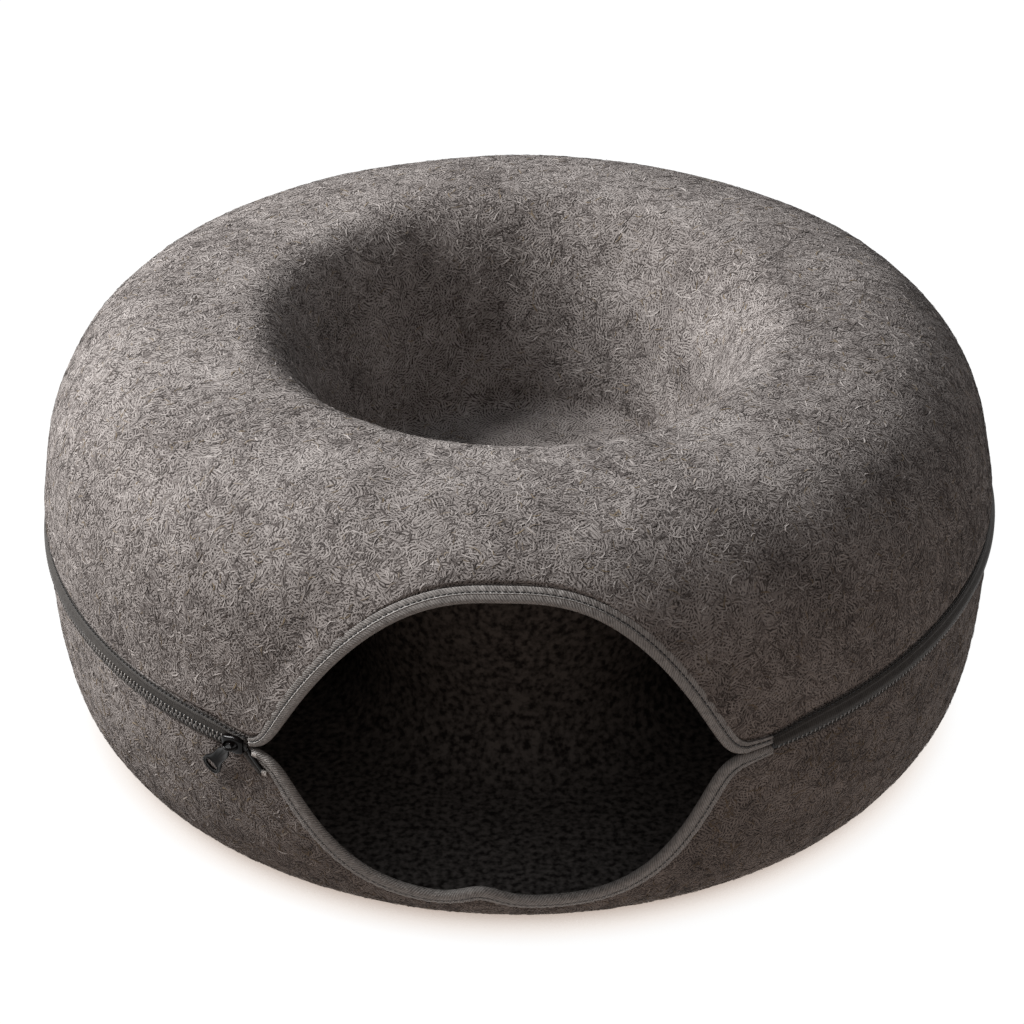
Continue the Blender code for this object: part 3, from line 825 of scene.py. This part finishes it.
def bandPiece(name, near, far, ridges, material, flap=False):
    # a band round the bed, from near to far off the zip's line, with raised ridges along it
    azimuth = ringSteps()
    across = np.linspace(near, far, 33)
    crest = sum((0.0005 * np.exp(-(((across - at) / 0.0005) ** 2)) for at in ridges), 0 * across)
    rise = flapRise(azimuth)[:, None] * (1 - rampUp(across, chain["halfWidth"], far - chain["sewn"])) * flap
    flat = chain["gap"] + chain["tape"]
    sewn = rampUp(across, far - chain["sewn"], far - 0.6 * chain["sewn"]) * flap
    outer = (flat + rise + crest) * (1 - sewn) + (chain["gap"] + 0.0003) * sewn
    inner = np.maximum(chain["gap"], outer - crest - chain["flapThickness"])
    offset = np.concatenate([across, across[::-1]]) * tapeShare(azimuth)[:, None]
    out = np.concatenate([outer, inner[:, ::-1]], 1)
    points = surface(azimuth[:, None], zipLine(azimuth)[:, None] + offset, out)
    return sweep(name, points, material, weaveMap(runLength(points[:, 0]), np.abs(offset)))


def spreadAlongZip(pitch, start=0.0, end=chain["left"]):
    # azimuths at equal steps of length along the zip
    fine = ringPath(0.1, end)
    length = runLength(surface(fine, zipLine(fine), 0.001))
    return np.interp(np.arange(start + 0.002, length[-1] - 0.001, pitch), length, fine)


def coilBends(name, side, start, across, out, radius, sides, material):
    # short bars across the zip, one at each turn of the coil; side is +1 for the upper half, -1 for the lower
    azimuth = spreadAlongZip(chain["pitch"], start, chain["teethEnd"])
    line = zipLine(azimuth)[:, None]
    out = chain["gap"] + chain["tape"] + np.array(out) * chain["height"]
    across = side * np.array(across) * chain["halfWidth"]
    return tubes(name, azimuth[:, None], line + across, out, radius, sides, material)


bar = ((0.96, 0.86, 0.45, 0.0, -0.30), (0.20, 0.75, 0.92, 0.86, 0.45))
knob = ((1.16, 1.0, 0.84), (0.55, 0.80, 0.88))
half = chain["pitch"] / 2
tapeTop = chain["gap"] + chain["tape"]
upperTape = bandPiece("upper_zip_tape", 0.0006, shape["tapeAbove"], (0.0074,), zipTape, flap=True)
lowerTape = bandPiece("lower_zip_tape", -0.0006, -shape["tapeBelow"], (-0.0042,), zipTape)
# a flat near-black strip under the teeth where the coil's core lies: painted shade in the gaps between the
# coil's turns
coreSection = np.array([(0.0025, 0.0004), (-0.0025, 0.0004), (-0.0025, 0.0001), (0.0025, 0.0001)])
coreLine = ringSteps()[:, None]
corePoints = surface(coreLine, zipLine(coreLine) + coreSection[:, 0], tapeTop + coreSection[:, 1])
core = sweep("zip_coil_core_painted_shade", corePoints, coreCordPaintedShade)
upperTeeth = coilBends("upper_zip_coil", 1, 0.0, *bar, chain["wire"], 5, coilNylon)
lowerTeeth = coilBends("lower_zip_coil", -1, half, *bar, chain["wire"], 5, coilNylon)
# pale beads on the upper teeth's tips, in the paler nylon: painted highlights
upperTips = coilBends("upper_coil_tips_painted_highlight", 1, 0.0, *knob, chain["tip"], 6, paintedHighlightNylon)
zipAzimuth = spreadAlongZip(chain["stitchPitch"])
zipRow = zipLine(zipAzimuth) + (shape["tapeAbove"] - 0.0011) * tapeShare(zipAzimuth)
upperZipStitches = stitchesAlong("upper_zip_stitches", zipAzimuth, zipRow, 1 / perDegreeAt(zipRow),
                                 0 * zipRow, chain["gap"] + 0.0007, 0.0030, 0.00045, darkThread)
print("zip closed:", len(upperTeeth.data.polygons) + len(lowerTeeth.data.polygons), "faces of coil")

# slider, pull and the zip's end
puller = {
    "at": -31.1,
    "length": 0.0145,
    "width": 0.0115,
    "roof": 0.0031,
    "top": 0.0048,
    "pullLength": 0.0310,
    "neck": 0.0078,
    "end": 0.0135,
    "thickness": 0.0016,
    "turn": 38.0,
    "lean": 5.0,
}


def sliderFrame():
    # origin on the felt at the slider, with unit vectors along the ring, up the wall and outwards
    at, s = puller["at"], zipLine(puller["at"])
    origin = surface(at, s)
    along = surface(at + 0.5, s) - surface(at - 0.5, s)
    along = along / np.linalg.norm(along)
    out = surface(at, s, 0.01) - origin
    out = out / np.linalg.norm(out)
    return origin, along, np.cross(out, along), out


def placed(local):
    origin, along, up, out = sliderFrame()
    return origin + local[..., :1] * along + local[..., 1:2] * up + local[..., 2:] * out


def sliderBody():
    # a shield-shaped cap over the coil: rounded sections along the zip, wide at the mouth, drawn in at the
    # tail, with side flanges that come down to the tape
    u = np.linspace(-0.5, 0.5, 13)
    width = np.array([0.62, 0.74, 0.80, 0.84, 0.88, 0.93, 0.98, 1.0, 1.0, 0.98, 0.93, 0.85, 0.7])
    width = width * puller["width"] / 2
    crown = np.array([0.55, 0.82, 0.95, 1, 1, 1, 1, 1, 1, 1, 0.95, 0.82, 0.55])
    foot, roof, top = 0.0015, puller["roof"], puller["top"]
    inner = chain["halfWidth"] + 0.0007
    turn = np.radians(np.linspace(0, 90, 5))
    shoulder = np.stack([1 - 0.28 * (1 - np.cos(turn)), roof + (top - roof) * np.sin(turn)], 1)
    right = np.concatenate([[(1.0, foot), (1.0, roof)], shoulder])
    left = right[::-1] * (-1, 1)
    local = np.zeros((len(u), 2 * len(right) + 4, 3))
    local[..., 0] = u[:, None] * puller["length"]
    around = np.concatenate([right, left])
    height = np.where(around[:, 1] > roof, roof + (around[:, 1] - roof) * crown[:, None], around[:, 1])
    local[:, :len(around), 1] = np.maximum(np.abs(around[:, 0]) * width[:, None], 0) * np.sign(around[:, 0])
    local[:, :len(around), 2] = height
    inside = np.minimum(inner, width - 0.0007)[:, None]
    local[:, len(around):, 1] = inside * np.array([-1, -1, 1, 1])
    local[:, len(around):, 2] = np.array([foot, roof - 0.0004, roof - 0.0004, foot])
    return sweep("slider_body", placed(local), enamel)


def bridgeLoop():
    # the bail that holds the pull: a half ring along the zip, of a rounded flat bar
    turn = np.radians(np.linspace(-20, 200, 25))
    path = np.stack([0.0044 * np.cos(turn), 0 * turn, puller["top"] + 0.0002 + 0.0045 * np.sin(turn)], 1)
    normal = np.stack([np.cos(turn), 0 * turn, np.sin(turn)], 1)
    ring = np.radians(np.linspace(0, 360, 12, endpoint=False))
    bar = path[:, None, :] + (0.0007 * np.sin(ring))[None, :, None] * normal[:, None, :]
    bar[..., 1] += 0.0011 * np.cos(ring)
    return sweep("slider_bridge", placed(bar), enamel)


def pullTab():
    # rings of points from the tab's outline in to the end hole: the tab is narrow at the slider and wide at
    # its end, with a raised rim and a sunk middle
    length = puller["pullLength"]
    y = np.array([-0.10, 0.00, 0.09, 0.24, 0.40, 0.50, 0.60, 0.67, 0.79, 0.88, 0.95, 0.99, 1.005]) * length
    neck, wide = puller["neck"] / 2, puller["end"] / 2
    half = np.array([0.30, 0.42, 0.42, 1.0, 1.02, 1.02, 1.14, 1.38, 1.73, 1.70, 1.38, 0.80, 0.0]) * neck
    half = np.minimum(half, wide)
    centre = 0.82 * length
    side = np.concatenate([np.stack([half, y], 1), np.stack([-half, y], 1)[::-1][1:]])
    side = np.concatenate([side, side[:1]])
    far = runLength(side)
    walk = np.linspace(0, far[-1], 121)[:-1]
    outline = np.stack([np.interp(walk, far, side[:, 0]), np.interp(walk, far, side[:, 1])], 1)
    for _ in range(3):
        outline = (np.roll(outline, 1, 0) + 2 * outline + np.roll(outline, -1, 0)) / 4
    angle = np.arctan2((outline[:, 1] - centre) * 4.4 / 2.3, outline[:, 0])
    hole = np.stack([0.0044 * np.cos(angle), centre + 0.0023 * np.sin(angle)], 1)
    inward = hole - outline
    reach = np.linalg.norm(inward, axis=1, keepdims=True)
    inward = inward / reach
    thick = puller["thickness"]
    rings = []
    for inset, level in ((0.0, 0.35), (0.0002, 0.85), (0.0006, 1.0), (0.0011, 1.0), (0.0015, 0.78)):
        rings.append((outline + inward * np.minimum(inset, 0.4 * reach), level))
    for inset, level in ((0.0010, 0.78), (0.0007, 1.0), (0.0003, 1.0), (0.0, 0.8), (0.0, 0.2)):
        rings.append((hole - inward * np.minimum(inset, 0.4 * reach), level))
    top = [np.concatenate([flat, np.full((len(flat), 1), level * thick)], 1) for flat, level in rings]
    under = [np.concatenate([flat, np.zeros((len(flat), 1))], 1) for flat, _ in (rings[-3], rings[2])]
    local = np.array(top + under)
    turn, lean = np.radians(puller["turn"]), np.radians(puller["lean"])
    x, down, z = local[..., 0], local[..., 1] * np.cos(lean), local[..., 2]
    lift = puller["top"] + 0.0005 + z - local[..., 1] * np.sin(lean)
    alongZip = -down * np.sin(turn) + x * np.cos(turn)
    upWall = -down * np.cos(turn) - x * np.sin(turn)
    points = placed(np.stack([alongZip, upWall, lift], -1))
    quads = gridQuads(len(local), len(outline), closedRows=True, closedColumns=True)
    flat = points.reshape(-1, 3)
    return newPiece("slider_pull", flat, facingOut(flat, quads), [enamel])


zipEnds = {
    "half": 0.0022,
    "rise": 0.0009,
    "hard": {"turns": (0.25, 2.2), "drops": (0.0015, 0.0135), "steps": 14},
    "cloth": {"turns": (-0.6, 1.5), "drops": (0.0045, 0.0160), "steps": 10},
}


def endStrip(name, way, offset, out, material):
    # a strip beside the slider, its section carried from near the zip's line down the wall
    azimuth = chain["left"] + np.linspace(*way["turns"], way["steps"])
    middle = zipLine(azimuth[0]) - np.linspace(*way["drops"], way["steps"])
    points = surface(azimuth[:, None], middle[:, None] + offset, out)
    return sweep(name, points, material, weaveMap(0.0015 * np.arange(way["steps"]), offset))


def zipTail():
    # the zip's short end, turned down over the binding's end and sewn flat. It is made in the black enamel:
    # painted shade on the end, which lies in shadow
    turn = np.radians(np.linspace(0, 180, 9))
    low, half = 2 * binding["gap"] + binding["thickness"], zipEnds["half"]
    offset = np.concatenate([half * np.cos(turn), [-half, half]])
    out = np.concatenate([low + 0.0004 + zipEnds["rise"] * np.sin(turn) ** 0.6, [low, low]])
    return endStrip("zip_end", zipEnds["hard"], offset, out, enamel)


def barTack(name, azimuth, s, count, length, out):
    # a bar tack: close stitches side by side, across the line that they hold
    places = azimuth + np.linspace(-0.25, 0.25, count)
    upward = np.ones(count)
    return stitchesAlong(name, places, s * upward, 0 * upward, upward, out, length, 0.00032, paleThread)


def tapeEnd():
    # the zip tape's own end, which shows as a soft strip along the lower side of the black one
    offset = np.array([0.0022, 0.0012, -0.0012, -0.0022, -0.0022, 0.0022])
    out = np.array([0.0009, 0.0013, 0.0013, 0.0009, 0.0003, 0.0003])
    return endStrip("zip_tape_end", zipEnds["cloth"], offset, out, zipTape)


slider = sliderBody()
bridge = bridgeLoop()
pull = pullTab()
# the zip's end in black: painted shade
tail = zipTail()
clothEnd = tapeEnd()
tailTop = 2 * binding["gap"] + binding["thickness"] + 0.0014
tackHigh = barTack("upper_bar_tack", chain["left"] + 1.1, zipLine(chain["left"]) - 0.0020, 6, 0.0030, tailTop)
tackLow = barTack("lower_bar_tack", chain["left"] + 2.3, zipLine(chain["left"]) - 0.0130, 6, 0.0042, tailTop)
print("slider, pull and zip end made")

# what each piece stands for and how it is worn
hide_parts("upper_shell")
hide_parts("lower_shell")
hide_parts("upper_binding")
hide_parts("lower_binding")
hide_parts("zip_tape_upper")
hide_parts("zip_tape_lower")
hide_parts("zip_coil")
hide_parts("zip_slider")
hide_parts("zip_pull")
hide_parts("zip_tail")
slots = {
    "felt": [upperFelt, lowerFelt, *fibreMats],
    "binding_tape": [upperBinding, lowerBinding, upperStitches, lowerStitches, tackHigh, tackLow],
    "zip_tape": [upperTape, lowerTape, upperZipStitches, clothEnd],
    "zip_coil": [upperTeeth, lowerTeeth, upperTips, core],
    "slider": [slider, bridge, pull],
    "zip_end": [tail],
}
for slotName, worn in slots.items():
    for piece in worn:
        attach(piece, "root")

# floor, light and camera
studio = {
    "floorSize": 30.0,
    "floorGlow": 1.0,
    "contact": 0.026,  # reach of the painted soft shadow where the bed meets the card
    "key": 188.0,
    "keyAzimuth": -101.0,
    "keyElevation": 42.0,
    "keyDistance": 3.4,
    "keySize": 1.5,
    "sky": "#8a8d90",
    "skyWay": (-0.15, 0.50, 0.85),
    "ground": "#84766d",
}
bpy.ops.mesh.primitive_plane_add(size=studio["floorSize"])
floor = bpy.context.object
floor.name = "studio_floor"
card, cardTree, cardShader = newMaterial("studio_card", Roughness=0.9, Specular_IOR_Level=0.1)
cardGrain = addNode(cardTree, "TexNoise", {"Scale": 400.0, "Detail": 2.0})
cardTree.links.new(colourRamp(cardTree, cardGrain.outputs["Fac"], {0.3: "#302f2e", 0.7: "#343332"}),
                   cardShader.inputs["Base Color"])
# the card's glow turns warm and darker close to the bed: a painted contact shadow
openness = addNode(cardTree, "AmbientOcclusion", {"Distance": studio["contact"]}, samples=8)
glowAndPaintedShadow = colourRamp(cardTree, openness.outputs["AO"], {0.0: "#a08b7c", 0.35: "#f2eae4", 0.7: "#ffffff"})
cardTree.links.new(glowAndPaintedShadow, cardShader.inputs["Emission Color"])
cardShader.inputs["Emission Strength"].default_value = studio["floorGlow"]
floor.data.materials.append(card)
floor.visible_diffuse = False

world = bpy.data.worlds.new("studio")
bpy.context.scene.world = world
world.use_nodes = True
sky = world.node_tree
place = addNode(sky, "TexCoord").outputs["Generated"]
# the sky is brighter behind and above than in front
upward = addNode(sky, "VectorMath", {0: place, 1: studio["skyWay"]}, operation="DOT_PRODUCT")
level = addNode(sky, "MapRange", {"Value": upward.outputs["Value"], "From Min": -0.3, "From Max": 0.5})
tint = colourRamp(sky, level.outputs[0], {0.0: studio["ground"], 1.0: studio["sky"]})
seen = addNode(sky, "LightPath").outputs["Is Camera Ray"]
background = sky.nodes["Background"]
sky.links.new(tint, background.inputs["Color"])
white = addNode(sky, "Background", {"Color": (1, 1, 1, 1), "Strength": 1.2})
either = addNode(sky, "MixShader", {0: seen, 1: background.outputs[0], 2: white.outputs[0]})
sky.links.new(either.outputs[0], sky.nodes["World Output"].inputs["Surface"])


def wayTo(azimuth, elevation):
    # the unit vector from the bed towards an azimuth and an elevation, in degrees
    side, rise = np.radians(azimuth), np.radians(elevation)
    return np.array([np.sin(side) * np.cos(rise), -np.cos(side) * np.cos(rise), np.sin(rise)])


def aimed(obj, at):
    # turns a camera or a lamp, which look down their own -Z, towards a point
    way = np.array(at) - np.array(obj.location)
    flat = np.hypot(way[0], way[1])
    obj.rotation_euler = (np.pi / 2 + np.arctan2(way[2], flat), 0, np.arctan2(way[1], way[0]) - np.pi / 2)


def areaLamp(name, location, size, power, colour):
    lamp = bpy.data.lights.new(name, "AREA")
    lamp.shape = "DISK"
    lamp.size = size
    lamp.energy = power
    lamp.color = linear(colour)[:3]
    obj = newObject(name, lamp)
    obj.location = location
    aimed(obj, (0, 0, 0.12))


keyPlace = studio["keyDistance"] * wayTo(studio["keyAzimuth"], studio["keyElevation"])
areaLamp("key_light", keyPlace, studio["keySize"], studio["key"], "#ffffff")

view = {
    "middle": (0.0, -0.0053, 0.11),
    "azimuth": 1.9,
    "elevation": 32.04,
    "distance": 2.0205,
    "lens": 110.36,
    "shift": (-0.0059, 0.0100),
}
camera = newObject("camera", bpy.data.cameras.new("camera"))
camera.location = np.array(view["middle"]) + view["distance"] * wayTo(view["azimuth"], view["elevation"])
aimed(camera, view["middle"])
camera.data.lens = view["lens"]
camera.data.sensor_width = 36.0
camera.data.shift_x, camera.data.shift_y = view["shift"]
camera.data.clip_end = 60.0
bpy.context.scene.camera = camera
bpy.context.scene.view_settings.view_transform = "Standard"
print("studio and camera set")
